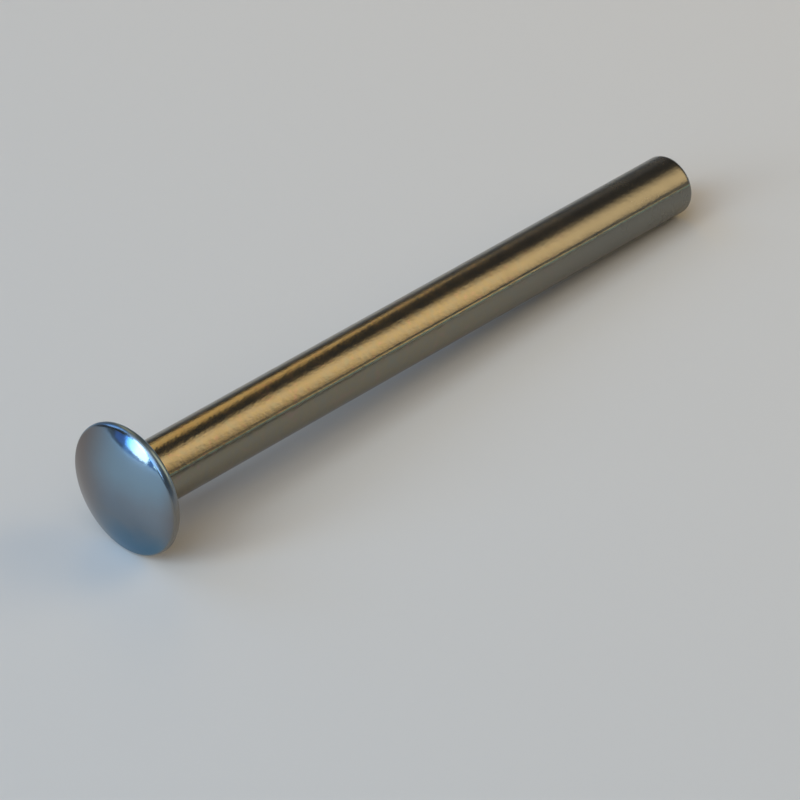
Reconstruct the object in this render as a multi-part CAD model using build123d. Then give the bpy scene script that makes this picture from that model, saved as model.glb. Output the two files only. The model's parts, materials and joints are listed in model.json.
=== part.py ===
from build123d import *
import os
from math import asin, atan2, cos, degrees, hypot, sin, sqrt

# A solid rivet, a quarter of an inch by three inches, cold-headed in one blow from drawn steel wire.
# It lies as it comes to rest, on the rim of its head and the edge of its tail.
# Sizes are in millimetres. X runs from the head to the tail, and Z is up from the floor.

# Shank: a plain wire, sheared off square, with the edge of its tail rounded by tumbling.
shank_diameter = 6.35
shank_length = 76.2  # from the bearing face to the end of the tail
tail_rounding = 0.65

# Head: a low dome on a thin rim, with a flat bearing face and a small fillet at the neck.
head_diameter = 13.5
dome_radius = 15.0
rim_height = 0.95
dome_edge_rounding = 0.5
bearing_edge_rounding = 0.6
neck_fillet = 0.45

shank_radius = shank_diameter / 2
head_radius = head_diameter / 2
dome_rise = dome_radius - sqrt(dome_radius**2 - head_radius**2)


def corner_at(face, x, radius):
    """The corner of a flat profile at this place along the axis and this distance from it."""
    return face.vertices().sort_by_distance((x, radius, 0))[0]


def half_profile():
    """Half of the rivet's long section, above its axis, with the bearing face at x = 0."""
    apex = (-rim_height - dome_rise, 0)
    dome_edge = (-rim_height, head_radius)
    half_angle = asin(head_radius / dome_radius) / 2
    dome_middle = (
        apex[0] + dome_radius * (1 - cos(half_angle)),
        dome_radius * sin(half_angle),
    )
    outline = ThreePointArc(apex, dome_middle, dome_edge)
    outline += Polyline(
        dome_edge,
        (0, head_radius),
        (0, shank_radius),
        (shank_length, shank_radius),
        (shank_length, 0),
        apex,
    )
    face = make_face(outline)
    roundings = (
        (-rim_height, head_radius, dome_edge_rounding),
        (0, head_radius, bearing_edge_rounding),
        (0, shank_radius, neck_fillet),
        (shank_length, shank_radius, tail_rounding),
    )
    for x, radius, rounding in roundings:
        face = fillet(corner_at(face, x, radius), rounding)
    return face


def resting_tilt():
    """How far the tail dips, in degrees, when the two rounded edges touch the same floor."""
    along = (shank_length - tail_rounding) + bearing_edge_rounding
    down = (head_radius - bearing_edge_rounding) - (shank_radius - tail_rounding)
    lean = asin((bearing_edge_rounding - tail_rounding) / hypot(along, down))
    return degrees(atan2(down, along) + lean)


def laid_on_floor(solid):
    """The rivet tipped onto its rim and its tail, with the floor at zero under the middle of its length."""
    tipped = Rot(0, resting_tilt(), 0) * solid
    box = tipped.bounding_box()
    return Pos(-box.center().X, 0, -box.min.Z) * tipped


rivet = laid_on_floor(revolve(half_profile(), Axis.X))
rivet.label = "rivet"

os.makedirs("parts", exist_ok=True)
export_step(rivet, "parts/rivet.step")
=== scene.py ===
import bpy
import bmesh
import json
import math
from mathutils import Matrix, Quaternion, Vector, noise


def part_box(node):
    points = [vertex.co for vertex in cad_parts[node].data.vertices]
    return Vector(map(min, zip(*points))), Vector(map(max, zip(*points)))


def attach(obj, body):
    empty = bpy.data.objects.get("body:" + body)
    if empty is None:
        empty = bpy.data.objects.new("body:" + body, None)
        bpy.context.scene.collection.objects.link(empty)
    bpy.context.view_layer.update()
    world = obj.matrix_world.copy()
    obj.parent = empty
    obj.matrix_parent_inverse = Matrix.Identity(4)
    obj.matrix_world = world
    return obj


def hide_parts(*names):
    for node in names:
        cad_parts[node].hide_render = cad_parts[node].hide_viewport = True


bpy.ops.wm.read_factory_settings(use_empty=True)
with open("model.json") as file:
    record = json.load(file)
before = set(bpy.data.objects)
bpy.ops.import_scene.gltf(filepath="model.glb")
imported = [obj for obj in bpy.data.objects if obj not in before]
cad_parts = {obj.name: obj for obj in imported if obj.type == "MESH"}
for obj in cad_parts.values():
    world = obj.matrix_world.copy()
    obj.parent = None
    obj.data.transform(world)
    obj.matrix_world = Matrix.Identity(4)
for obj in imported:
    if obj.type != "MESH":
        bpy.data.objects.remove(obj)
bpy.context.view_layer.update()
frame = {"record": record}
scene = bpy.context.scene
scene.view_settings.view_transform = "Standard"

# Rivet
# One piece of drawn steel wire, cut off by a knife and cold-headed in a split die: a plain shank under a
# low domed head. The halves of the die leave a hair-thin raised seam along both sides of the shank.
mm = 0.001
mounts = {mount["name"]: mount for mount in frame["record"]["mounts"]}
axis = Vector(mounts["shank"]["axis"]).normalized()
tilt = math.asin(-axis.z)
shank_radius = mounts["shank"]["dims"]["r_mm"] * mm
wall_length = mounts["shank"]["dims"]["length_mm"] * mm
wall_middle = Vector(mounts["shank"]["pos_m"])
low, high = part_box("rivet")
head_radius = (high.y - low.y) / 2

neck_fillet = 0.45 * mm
tail_rounding = 0.65 * mm
dome_radius = 15.0 * mm
rim_height = 0.95 * mm
dome_edge_rounding = 0.5 * mm
bearing_edge_rounding = 0.6 * mm
shank_length = wall_length + neck_fillet + tail_rounding
neck = wall_middle - axis * (wall_length / 2 + neck_fillet)
to_row = Matrix.Translation(neck) @ Matrix.Rotation(tilt, 4, "Y")

# the fineness of the mesh, and the distance within which two places count as the same
steps_round = 180
dome_rings = 36
dome_last_ring = 0.36 * mm
tail_ring = 0.6 * (shank_radius - tail_rounding)
rounding_segments = 9
ring_spacing = 0.3 * mm
seam_cuts = 2
same_place = 0.001 * mm

# a seam is a ridge with a groove under it, both patchy, fainter at the neck, and the groove worn at the tail
seam_above_level = math.radians(28.8)
seam_drift = math.radians(-0.066) / mm
seam_width = 0.10 * mm
seam_patch = 0.9 * mm
seam_usual = 0.8
ridge_height = 0.013 * mm
ridge_patchiness = 0.8
groove_depth = 0.012 * mm
groove_patchiness = -0.5
groove_below = 2 * seam_width
groove_worn = 0.6
seam_fade = 0.8 * mm
seam_at_neck = 0.4
seam_full = 60 * mm
strip_reach = 6 * seam_width
seam_reach = 7 * seam_width


def from_axis(vert):
    return math.hypot(vert.co.y, vert.co.z)


def corner_at(bm, x, radius):
    """The edges round the rivet at this place along its axis and this distance from it."""
    ring = {
        vert
        for vert in bm.verts
        if abs(vert.co.x - x) < same_place and abs(from_axis(vert) - radius) < same_place
    }
    return [edge for edge in bm.edges if ring.issuperset(edge.verts)]


def round_corner(bm, x, radius, rounding, turn=math.pi / 2):
    """A rounding of this radius on a corner where the surface turns by this angle."""
    bmesh.ops.bevel(
        bm,
        geom=corner_at(bm, x, radius),
        offset=rounding * math.tan(turn / 2),
        offset_type="OFFSET",
        segments=rounding_segments,
        profile=0.5,
        affect="EDGES",
        material=-1,
    )


# the sharp form first, with X from head to tail and the bearing face at x = 0
bm = bmesh.new()
dome_half_angle = math.asin(head_radius / dome_radius)
dome_rise = dome_radius * (1 - math.cos(dome_half_angle))
apex = Vector((-rim_height - dome_rise, 0, 0))
start = bm.verts.new(apex)
bmesh.ops.spin(
    bm,
    geom=[start],
    cent=apex + Vector((dome_radius, 0, 0)),
    axis=(0, 1, 0),
    angle=dome_half_angle - dome_last_ring / dome_radius,
    steps=dome_rings,
)
last = max(bm.verts, key=lambda vert: vert.co.z)
stops = (
    (-rim_height, head_radius),
    (0, head_radius),
    (0, shank_radius),
    (shank_length, shank_radius),
    (shank_length, tail_ring),
    (shank_length, 0),
)
for x, radius in stops:
    new = bm.verts.new((x, 0, radius))
    bm.edges.new((last, new))
    last = new
bmesh.ops.spin(
    bm,
    geom=bm.verts[:] + bm.edges[:],
    cent=(0, 0, 0),
    axis=(1, 0, 0),
    angle=math.tau,
    steps=steps_round,
    use_merge=True,
)
bmesh.ops.remove_doubles(bm, verts=bm.verts, dist=same_place / 2)

round_corner(bm, -rim_height, head_radius, dome_edge_rounding, math.pi / 2 - dome_half_angle)
round_corner(bm, 0, head_radius, bearing_edge_rounding)
round_corner(bm, 0, shank_radius, neck_fillet)
round_corner(bm, shank_length, shank_radius, tail_rounding)

# the shank gets rings along its length and finer strips at its seams, so that a seam can rise and fall
long_edges = [edge for edge in bm.edges if edge.calc_length() > shank_length / 2]
bmesh.ops.subdivide_edges(
    bm,
    edges=long_edges,
    cuts=round(wall_length / ring_spacing),
    use_grid_fill=True,
)


def from_seam(point):
    """How far round the shank a point lies below the nearer of its two seams, which drift a little."""
    around = math.atan2(point.z, -point.y)
    seam = seam_above_level + seam_drift * point.x
    nearer = min((seam, seam - math.pi), key=lambda angle: abs(around - angle))
    return (nearer - around) * shank_radius


def on_wall(vert):
    return abs(from_axis(vert) - shank_radius) < same_place


strip_edges = [
    edge
    for edge in bm.edges
    if all(on_wall(vert) for vert in edge.verts)
    and abs(edge.verts[0].co.x - edge.verts[1].co.x) < same_place
    and abs(from_seam((edge.verts[0].co + edge.verts[1].co) / 2)) < strip_reach
]
bmesh.ops.subdivide_edges(bm, edges=strip_edges, cuts=seam_cuts, use_grid_fill=True)

for vert in bm.verts:
    below = from_seam(vert.co)
    if not on_wall(vert) or abs(below) > seam_reach:
        continue
    x = vert.co.x
    fade = max(0, min(1, x / seam_fade, (shank_length - x) / seam_fade))
    fade *= min(1, seam_at_neck + x / seam_full)
    patch = noise.noise(Vector((x / seam_patch, below, 0)))
    ridge = ridge_height * (seam_usual + ridge_patchiness * patch)
    ridge *= math.exp(-((below / seam_width) ** 2))
    groove = groove_depth * (seam_usual + groove_patchiness * patch)
    groove *= math.exp(-(((below + groove_below) / seam_width) ** 2))
    groove *= 1 - groove_worn * (x / shank_length) ** 3
    out = Vector((0, vert.co.y, vert.co.z)).normalized()
    vert.co = Vector((x, 0, 0)) + out * (shank_radius + fade * (ridge - groove))

bmesh.ops.recalc_face_normals(bm, faces=bm.faces)
for face in bm.faces:
    face.smooth = True
bmesh.ops.transform(bm, matrix=to_row, verts=bm.verts)
mesh = bpy.data.meshes.new("rivet_body")
bm.to_mesh(mesh)
bm.free()
rivet = bpy.data.objects.new("rivet_body", mesh)
scene.collection.objects.link(rivet)


# The finish is bright zinc plate with a clear passivate. It gives the eye a satin metal, faintly straw on the
# drawn shank, with long drawing lines; the dome's blue is the passivate with painted reflection and painted
# shade laid into it, and the greenish line at each seam is scuffed plate with its colour partly a painted
# reflection.
def linear(colour):
    """A hex sRGB colour as linear red, green, blue and alpha."""
    channels = [int(colour[i : i + 2], 16) / 255 for i in (1, 3, 5)]
    turned = [c / 12.92 if c <= 0.04045 else ((c + 0.055) / 1.055) ** 2.4 for c in channels]
    return (*turned, 1)


def add_node(tree, kind, settings=(), links=(), stops=()):
    """A node with its settings, its links and, for a colour ramp, its stops.

    A setting named by a number or with a capital is a socket's, and any other is the node's own. A link comes
    from a socket, or from the first socket of a node.
    """
    node = tree.nodes.new(kind)
    for name, value in dict(settings).items():
        if isinstance(name, int) or name[0].isupper():
            node.inputs[name].default_value = value
        else:
            setattr(node, name, value)
    for name, source in dict(links).items():
        if isinstance(source, bpy.types.Node):
            source = source.outputs[0]
        tree.links.new(source, node.inputs[name])
    if stops:
        elements = node.color_ramp.elements
        while len(elements) < len(stops):
            elements.new(0.5)
        for element, (position, colour) in zip(elements, stops):
            element.position = position
            element.color = linear(colour)
    return node


zinc = bpy.data.materials.new("bright_zinc_plate")
zinc.use_nodes = True
tree = zinc.node_tree
tree.nodes.clear()
smooth = {"interpolation_type": "SMOOTHSTEP"}

# places on the rivet in millimetres, along its own axis from the bearing face
place = add_node(tree, "ShaderNodeTexCoord")
own = add_node(
    tree,
    "ShaderNodeMapping",
    {
        "vector_type": "TEXTURE",
        "Location": neck,
        "Rotation": (0, tilt, 0),
        "Scale": (mm, mm, mm),
    },
    {"Vector": place.outputs["Object"]},
)
where = add_node(tree, "ShaderNodeSeparateXYZ", {}, {"Vector": own})
along = where.outputs["X"]
across = where.outputs["Y"]
upward = where.outputs["Z"]

# the struck dome, the free rim and the sheared end, each easing from 0 to 1 between two places
dome_from, dome_full = -0.82, -1.14
rim_from, rim_full = -1.10, -0.82
back_from, back_full = 0.0, -0.15
end_from = shank_length / mm - 0.10
end_full = shank_length / mm - 0.02
struck = add_node(
    tree,
    "ShaderNodeMapRange",
    {**smooth, "From Min": dome_from, "From Max": dome_full},
    {"Value": along},
)
past_dome = add_node(
    tree,
    "ShaderNodeMapRange",
    {**smooth, "From Min": rim_from, "From Max": rim_full},
    {"Value": along},
)
before_back = add_node(
    tree,
    "ShaderNodeMapRange",
    {**smooth, "From Min": back_from, "From Max": back_full},
    {"Value": along},
)
on_rim = add_node(tree, "ShaderNodeMath", {"operation": "MULTIPLY"}, {0: past_dome, 1: before_back})
on_end = add_node(
    tree,
    "ShaderNodeMapRange",
    {**smooth, "From Min": end_from, "From Max": end_full},
    {"Value": along},
)

# the passivate's tint on the shank: straw, in soft clouds, and greyer towards the tail; a Mix node's colours
# go in at its sockets 6 and 7, and come out at 2
film_patch = 2.0
mottle_patch = 0.625
grey_from, grey_full = 38, 66
film = add_node(
    tree,
    "ShaderNodeTexNoise",
    {"Scale": 1 / film_patch, "Detail": 3.0, "Roughness": 0.5},
    {"Vector": own},
)
mottle = add_node(
    tree,
    "ShaderNodeTexNoise",
    {"Scale": 1 / mottle_patch, "Detail": 2.0, "Roughness": 0.5},
    {"Vector": own},
)
half_film = add_node(tree, "ShaderNodeMath", {"operation": "MULTIPLY", 1: 0.5}, {0: film})
clouds = add_node(tree, "ShaderNodeMath", {"operation": "MULTIPLY_ADD", 1: 0.5}, {0: mottle, 2: half_film})
shank_tint = add_node(
    tree,
    "ShaderNodeValToRGB",
    links={"Fac": clouds},
    stops=((0.34, "#7F8075"), (0.46, "#847F73"), (0.54, "#86816F"), (0.66, "#8E7F76")),
)
greying = add_node(
    tree,
    "ShaderNodeMapRange",
    {**smooth, "From Min": grey_from, "From Max": grey_full},
    {"Value": along},
)
wire_tint = add_node(
    tree,
    "ShaderNodeMix",
    {"data_type": "RGBA", 7: linear("#7B7A73")},
    {0: greying, 6: shank_tint},
)

# its tint on the head: the passivate's blue over the dome, with painted reflection and painted shade laid
# into it, darkest and deepest blue at its foot, brownish at the dome's two sides and on the rim below its
# top, and bluer at the rim's top; the film's clouds shift the dome's tints up and down a little
foot_height, crown_height = -5.75, 7.25
cloud_shift = 1.5
left_from, left_full = 6.0, -0.5
right_from, right_full = -8.0, -4.8
rim_brown, rim_blue = 0.5, 4.5
up_dome = add_node(
    tree,
    "ShaderNodeMath",
    {"operation": "MULTIPLY_ADD", 1: cloud_shift},
    {0: film, 2: upward},
)
dome_height = add_node(
    tree,
    "ShaderNodeMapRange",
    {**smooth, "From Min": foot_height, "From Max": crown_height},
    {"Value": up_dome},
)
# the dome's blue passivate, darker at its foot as painted shade and varied as painted reflection
dome_tint_and_reflection = add_node(
    tree,
    "ShaderNodeValToRGB",
    links={"Fac": dome_height},
    stops=((0.02, "#587E94"), (0.27, "#858F97"), (0.5, "#8B97A2"), (0.8, "#8FA8B9")),
)
off_left = add_node(
    tree,
    "ShaderNodeMapRange",
    {**smooth, "From Min": left_from, "From Max": left_full},
    {"Value": across},
)
off_right = add_node(
    tree,
    "ShaderNodeMapRange",
    {**smooth, "From Min": right_from, "From Max": right_full},
    {"Value": across},
)
dome_side_reflection_mix = add_node(tree, "ShaderNodeMath", {"operation": "MULTIPLY"}, {0: off_left, 1: off_right})
struck_tint_and_reflection = add_node(
    tree,
    "ShaderNodeMix",
    {"data_type": "RGBA", 6: linear("#7C716C")},
    {0: dome_side_reflection_mix, 7: dome_tint_and_reflection},
)
# the rim: bluer and lighter at its top as a painted sky reflection, brownish below
up_rim = add_node(
    tree,
    "ShaderNodeMapRange",
    {**smooth, "From Min": rim_brown, "From Max": rim_blue},
    {"Value": upward},
)
rim_tint_and_sky_reflection = add_node(
    tree,
    "ShaderNodeMix",
    {"data_type": "RGBA", 6: linear("#88837B"), 7: linear("#7D96AD")},
    {0: up_rim},
)

# the seams: a thin line where the die's halves met, rubbed in dashes and wandering a little; its greenish
# colour is partly the rubbed plate and partly a painted reflection of a pale highlight line
line_edge, line_full = 0.13, 0.03
line_wander = 0.08
dash_width = 0.91
dash_stretch = (1, 0.3, 0.3)
dash_from, dash_full = 0.36, 0.56
dash_faintest = 0.25
line_from, line_whole = 0.5, 1.2
level = add_node(
    tree,
    "ShaderNodeMapping",
    {"Rotation": (seam_above_level, 0, 0)},
    {"Vector": own},
)
seam_plane = add_node(tree, "ShaderNodeSeparateXYZ", {}, {"Vector": level})
drift = add_node(
    tree,
    "ShaderNodeMath",
    {"operation": "MULTIPLY", 1: seam_drift * shank_radius},
    {0: along},
)
facing = add_node(tree, "ShaderNodeMath", {"operation": "SIGN"}, {0: seam_plane.outputs["Y"]})
off_seam = add_node(
    tree,
    "ShaderNodeMath",
    {"operation": "MULTIPLY_ADD"},
    {0: drift, 1: facing, 2: seam_plane.outputs["Z"]},
)
wander = add_node(
    tree,
    "ShaderNodeMath",
    {"operation": "MULTIPLY_ADD", 1: line_wander, 2: -line_wander / 2},
    {0: mottle},
)
off_line = add_node(tree, "ShaderNodeMath", {"operation": "ADD"}, {0: off_seam, 1: wander})
from_line = add_node(tree, "ShaderNodeMath", {"operation": "ABSOLUTE"}, {0: off_line})
on_line = add_node(
    tree,
    "ShaderNodeMapRange",
    {**smooth, "From Min": line_edge, "From Max": line_full},
    {"Value": from_line},
)
along_dashes = add_node(tree, "ShaderNodeMapping", {"Scale": dash_stretch}, {"Vector": own})
dash_noise = add_node(
    tree,
    "ShaderNodeTexNoise",
    {"Scale": 1 / dash_width, "Detail": 2.0, "Roughness": 0.7},
    {"Vector": along_dashes},
)
dashes = add_node(
    tree,
    "ShaderNodeMapRange",
    {**smooth, "From Min": dash_from, "From Max": dash_full, "To Min": dash_faintest},
    {"Value": dash_noise},
)
past_neck = add_node(
    tree,
    "ShaderNodeMapRange",
    {**smooth, "From Min": line_from, "From Max": line_whole},
    {"Value": along},
)
dashed_line = add_node(tree, "ShaderNodeMath", {"operation": "MULTIPLY"}, {0: on_line, 1: dashes})
rubbed_and_painted_sheen = add_node(tree, "ShaderNodeMath", {"operation": "MULTIPLY"}, {0: dashed_line, 1: past_neck})

# the tints together, with their painted reflections and shade: the head's over the wire's, and the rubbed
# seam's last
plate_tint_and_reflection = wire_tint
for part_of_plate, tint in ((struck, struck_tint_and_reflection), (on_rim, rim_tint_and_sky_reflection)):
    plate_tint_and_reflection = add_node(
        tree,
        "ShaderNodeMix",
        {"data_type": "RGBA"},
        {0: part_of_plate, 6: plate_tint_and_reflection.outputs[2], 7: tint.outputs[2]},
    )
# the seam line's colour: rubbed plate, with a painted greenish highlight in it
colour = add_node(
    tree,
    "ShaderNodeMix",
    {"data_type": "RGBA", 7: linear("#80968F")},
    {0: rubbed_and_painted_sheen, 6: plate_tint_and_reflection.outputs[2]},
)

# satin: the struck dome shines most, then the drawn wire, which is duller near its tail, then the free rim,
# and least the sheared end and the seams
dull_from, dull_full = 40, 76
brightest_wire, dullest_wire = 0.18, 0.24
thin_film, thick_film = 0.3, 0.7
near_tail = add_node(
    tree,
    "ShaderNodeMapRange",
    {**smooth, "From Min": dull_from, "From Max": dull_full},
    {"Value": along},
)
satin = add_node(
    tree,
    "ShaderNodeMapRange",
    {
        **smooth,
        "From Min": thin_film,
        "From Max": thick_film,
        "To Min": brightest_wire,
        "To Max": dullest_wire,
    },
    {"Value": film},
)
satin_changes = ((near_tail, 0.05), (struck, -0.125), (on_rim, 0.14), (rubbed_and_painted_sheen, 0.20), (on_end, 0.14))
for part_of_plate, change in satin_changes:
    satin = add_node(
        tree,
        "ShaderNodeMath",
        {"operation": "MULTIPLY_ADD", 1: change},
        {0: part_of_plate, 2: satin},
    )

# relief: orange peel under the plate, drawn longer on the wire, and tear marks across the sheared end; real
# drawing lines are a few hundredths of a millimetre wide, and are made 0.2 mm wide here, so that they show
peel_patch = 0.59
drawn_peel_width = 0.222
drawn_peel_stretch = (0.4, 1, 1)
drawn_peel_height = 0.5
drawing_line_width = 0.2
drawing_line_stretch = (0.02, 1, 1)
drawing_line_height = 0.20
tear_width = 0.333
tear_stretch = (0.2, 1.0, 0.12)
tear_height = 3.0
relief_depth = 0.019 * mm
relief_left_on_dome = 0.22
peel = add_node(
    tree,
    "ShaderNodeTexNoise",
    {"Scale": 1 / peel_patch, "Detail": 3.0, "Roughness": 0.55},
    {"Vector": own},
)
along_peel = add_node(tree, "ShaderNodeMapping", {"Scale": drawn_peel_stretch}, {"Vector": own})
drawn_peel = add_node(
    tree,
    "ShaderNodeTexNoise",
    {"Scale": 1 / drawn_peel_width, "Detail": 2.0, "Roughness": 0.5},
    {"Vector": along_peel},
)
along_lines = add_node(tree, "ShaderNodeMapping", {"Scale": drawing_line_stretch}, {"Vector": own})
drawing_lines = add_node(
    tree,
    "ShaderNodeTexNoise",
    {"Scale": 1 / drawing_line_width, "Detail": 3.0, "Roughness": 0.6},
    {"Vector": along_lines},
)
across_end = add_node(tree, "ShaderNodeMapping", {"Scale": tear_stretch}, {"Vector": own})
tears = add_node(
    tree,
    "ShaderNodeTexNoise",
    {"Scale": 1 / tear_width, "Detail": 3.0, "Roughness": 0.7},
    {"Vector": across_end},
)
lined = add_node(
    tree,
    "ShaderNodeMath",
    {"operation": "MULTIPLY_ADD", 1: drawing_line_height},
    {0: drawing_lines, 2: peel},
)
drawn = add_node(
    tree,
    "ShaderNodeMath",
    {"operation": "MULTIPLY_ADD", 1: drawn_peel_height},
    {0: drawn_peel, 2: lined},
)
left_by_blow = add_node(
    tree,
    "ShaderNodeMapRange",
    {**smooth, "To Min": 1.0, "To Max": relief_left_on_dome},
    {"Value": struck},
)
struck_flat = add_node(tree, "ShaderNodeMath", {"operation": "MULTIPLY"}, {0: drawn, 1: left_by_blow})
tears_on_end = add_node(tree, "ShaderNodeMath", {"operation": "MULTIPLY"}, {0: on_end, 1: tears})
relief = add_node(
    tree,
    "ShaderNodeMath",
    {"operation": "MULTIPLY_ADD", 1: tear_height},
    {0: tears_on_end, 2: struck_flat},
)
bump = add_node(tree, "ShaderNodeBump", {"Strength": 1.0, "Distance": relief_depth}, {"Height": relief})
metal = add_node(
    tree,
    "ShaderNodeBsdfPrincipled",
    {"Metallic": 1.0},
    {"Base Color": colour.outputs[2], "Roughness": satin, "Normal": bump},
)
add_node(tree, "ShaderNodeOutputMaterial", {}, {"Surface": metal})

mesh.materials.append(zinc)
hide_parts("rivet")
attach(rivet, "root")


# Floor
# A pale matt card, flat under the rivet and bent up into a sweep all round, far away, so that low views end
# in it too. It is there for the picture alone.
floor_radius = 1.4
sweep_radius = 0.5
sweep_height = 0.35
sweep_steps = 16
floor_steps_round = 96
bm = bmesh.new()
middle_vert = bm.verts.new((0, 0, 0))
edge_vert = bm.verts.new((floor_radius, 0, 0))
bm.edges.new((middle_vert, edge_vert))
bmesh.ops.spin(
    bm,
    geom=[edge_vert],
    cent=(floor_radius, 0, sweep_radius),
    axis=(0, -1, 0),
    angle=math.acos(1 - sweep_height / sweep_radius),
    steps=sweep_steps,
)
bmesh.ops.spin(
    bm,
    geom=bm.verts[:] + bm.edges[:],
    cent=(0, 0, 0),
    axis=(0, 0, 1),
    angle=math.tau,
    steps=floor_steps_round,
    use_merge=True,
)
bmesh.ops.remove_doubles(bm, verts=bm.verts, dist=0.01 * mm)
bmesh.ops.recalc_face_normals(bm, faces=bm.faces)
for face in bm.faces:
    face.smooth = True
floor_mesh = bpy.data.meshes.new("floor")
bm.to_mesh(floor_mesh)
bm.free()
floor = bpy.data.objects.new("floor", floor_mesh)
scene.collection.objects.link(floor)

card = bpy.data.materials.new("pale_card")
card.use_nodes = True
card.node_tree.nodes.clear()
matt = add_node(
    card.node_tree,
    "ShaderNodeBsdfPrincipled",
    {"Base Color": linear("#D2D2CF"), "Roughness": 0.8, "Specular IOR Level": 0.2},
)
add_node(card.node_tree, "ShaderNodeOutputMaterial", {}, {"Surface": matt})
floor_mesh.materials.append(card)


# Light
# A tall far window with blue sky round it and a pane beside it, which the dome mirrors, more sky behind and
# a cool light beside it for the head's rim, a key light overhead, a warm softbox that the shank mirrors as a
# straw-coloured band, a small warm one and a dim reflector for its thin second band, a weak fill, a dim room.
def softbox(
    name,
    azimuth,
    elevation,
    distance,
    width,
    height,
    colour,
    strength,
    shade=(),
    shade_across=False,
    roll=0,
):
    """A soft light facing the rivet. Azimuth goes from +X towards +Y, and strength 1 is white.

    Its shade runs up it or across it, and its roll turns it in its own plane.
    """
    light = bpy.data.lights.new(name, "AREA")
    light.shape = "RECTANGLE"
    light.size = width
    light.size_y = height
    light.color = linear(colour)[:3]
    light.energy = strength * math.pi * width * height
    if shade:
        light.use_nodes = True
        tree = light.node_tree
        tree.nodes.clear()
        cloth = add_node(tree, "ShaderNodeNewGeometry")
        on_cloth = add_node(tree, "ShaderNodeSeparateXYZ", {}, {"Vector": cloth.outputs["Parametric"]})
        shaded_along = on_cloth.outputs["X" if shade_across else "Y"]
        shading = add_node(tree, "ShaderNodeValToRGB", links={"Fac": shaded_along}, stops=shade)
        shading.color_ramp.interpolation = "EASE"
        glow = add_node(tree, "ShaderNodeEmission", {}, {"Color": shading})
        add_node(tree, "ShaderNodeOutputLight", {}, {"Surface": glow})
    lamp = bpy.data.objects.new(name, light)
    round_angle = math.radians(azimuth)
    height_angle = math.radians(elevation)
    away = Vector(
        (
            math.cos(height_angle) * math.cos(round_angle),
            math.cos(height_angle) * math.sin(round_angle),
            math.sin(height_angle),
        )
    )
    lamp.location = away * distance
    lamp.rotation_mode = "QUATERNION"
    lamp.rotation_quaternion = away.to_track_quat("Z", "Y") @ Quaternion((0, 0, 1), math.radians(roll))
    lamp.visible_camera = False
    scene.collection.objects.link(lamp)


warm_shade = ((0, "#818181"), (0.42, "#FFFFFF"), (0.55, "#FFFFFF"), (1, "#767676"))
window_shade = (
    (0, "#4A78C8"),
    (0.1, "#8CC4F4"),
    (0.3, "#D0F4FF"),
    (0.5, "#FFFFFF"),
    (0.9, "#FFFFF4"),
    (1, "#C4D8D0"),
)
sky_shade = ((0, "#8C8C8C"), (0.16, "#989898"), (0.36, "#FFFFFF"))

# each lamp's azimuth and elevation in degrees, its distance, width and height in metres, colour and strength
softbox("window", 162.8, 30.5, 1.30, 0.53, 1.40, "#FFFFFF", 2.9, window_shade, shade_across=True, roll=-8)
softbox("side_pane", 176.8, 5.0, 1.32, 0.12, 0.16, "#ECF6D6", 2.0)
softbox("sky", 164.1, 10.7, 1.36, 0.80, 0.50, "#60A8FF", 1.7, sky_shade)
softbox("evening_sky", 142.8, 4.7, 1.31, 0.21, 0.14, "#4C90FF", 0.4)
softbox("rear_sky", 106, 36, 1.30, 0.62, 0.70, "#9CCBFF", 2.2)
softbox("cool_softbox", 183.3, 34.5, 1.235, 1.05, 1.03, "#BCDCFF", 2.3)
softbox("key_softbox", 172, 74, 1.0, 0.80, 0.70, "#FFF2E4", 1.05)
softbox("warm_softbox", -33.7, 36, 0.45, 0.375, 0.39, "#FFE0AC", 2.2, warm_shade, shade_across=True)
softbox("small_warm_softbox", 53, 43.5, 0.275, 0.08, 0.18, "#FFD58A", 1.6)
softbox("dim_reflector", 40, 21.9, 0.317, 0.10, 0.10, "#E8EEFF", 0.09)
softbox("fill_softbox", -135, 55, 0.9, 0.60, 0.50, "#FFFFFF", 0.35)

world = bpy.data.worlds.new("dim_room")
world.use_nodes = True
world.node_tree.nodes.clear()
room = add_node(world.node_tree, "ShaderNodeBackground", {"Color": linear("#504E4C"), "Strength": 1.0})
add_node(world.node_tree, "ShaderNodeOutputWorld", {}, {"Surface": room})
scene.world = world

# Camera
# The photograph's view: from the head's side and above, through a long lens.
look_at = Vector((-3.60 * mm, -2.57 * mm, 0))
camera_azimuth = math.radians(-45.96)
camera_elevation = math.radians(36.25)
camera_roll = math.radians(-0.76)
camera_distance = 463.6 * mm
lens = bpy.data.cameras.new("camera")
lens.sensor_width = 36.0
lens.lens = 214.7
lens.clip_start = 0.01
lens.clip_end = 10.0
camera = bpy.data.objects.new("camera", lens)
back = Vector(
    (
        math.sin(camera_azimuth) * math.cos(camera_elevation),
        -math.cos(camera_azimuth) * math.cos(camera_elevation),
        math.sin(camera_elevation),
    )
)
camera.location = look_at + back * camera_distance
camera.rotation_mode = "QUATERNION"
camera.rotation_quaternion = back.to_track_quat("Z", "Y") @ Quaternion((0, 0, 1), camera_roll)
scene.collection.objects.link(camera)
scene.camera = camera
